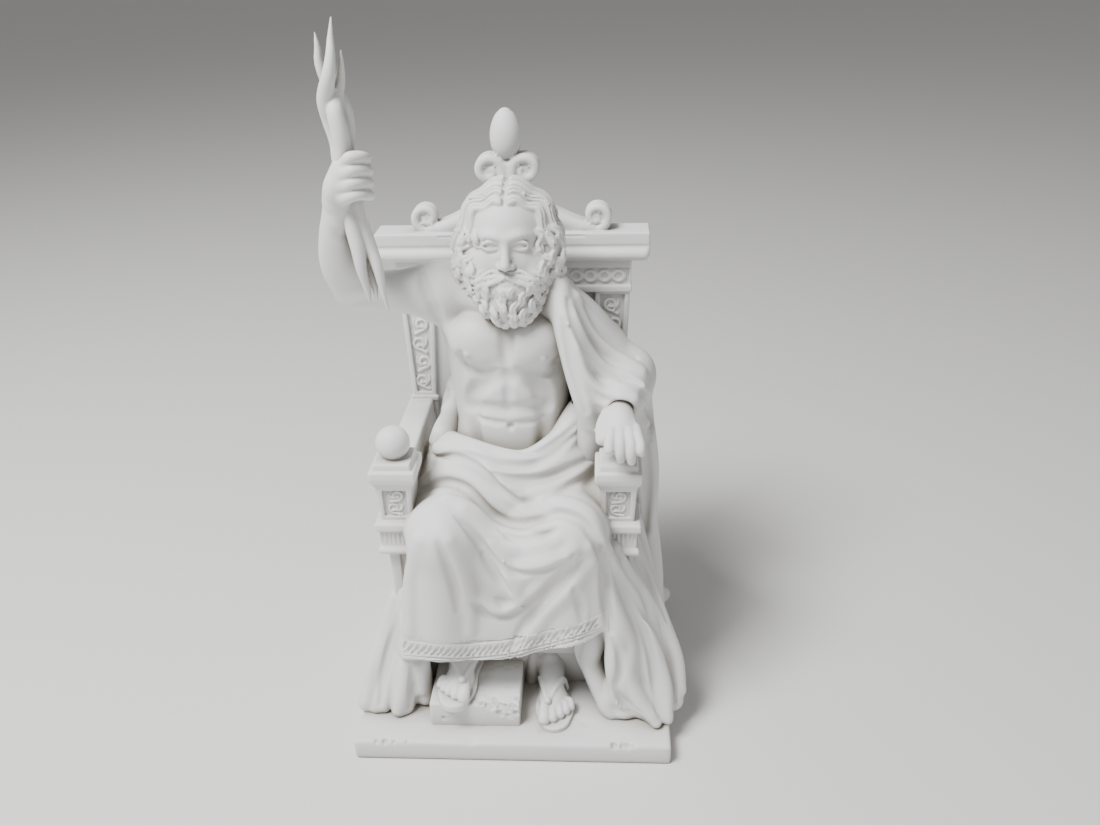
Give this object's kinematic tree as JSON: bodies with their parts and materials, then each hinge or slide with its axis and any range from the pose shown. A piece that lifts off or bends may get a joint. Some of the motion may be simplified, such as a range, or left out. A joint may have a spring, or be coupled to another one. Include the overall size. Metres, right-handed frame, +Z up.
{
  "type": "seated zeus statue",
  "caption": "Cast marble-white figurine of a bearded god on a high-backed throne, right arm raised with a twisted thunderbolt, on a square plinth.",
  "frame": {"origin": "middle of the plinth's underside", "axes": "+Z up, the figure faces -Y, its raised right arm is on the -X side"},
  "size_m": [0.1457, 0.13, 0.2939],
  "materials": {
    "bonded_marble": "matt off-white cast marble resin, slightly translucent, greyer in the hollows"
  },
  "bodies": {
    "root": {"statue": "bonded_marble"}
  },
  "joints": []
}
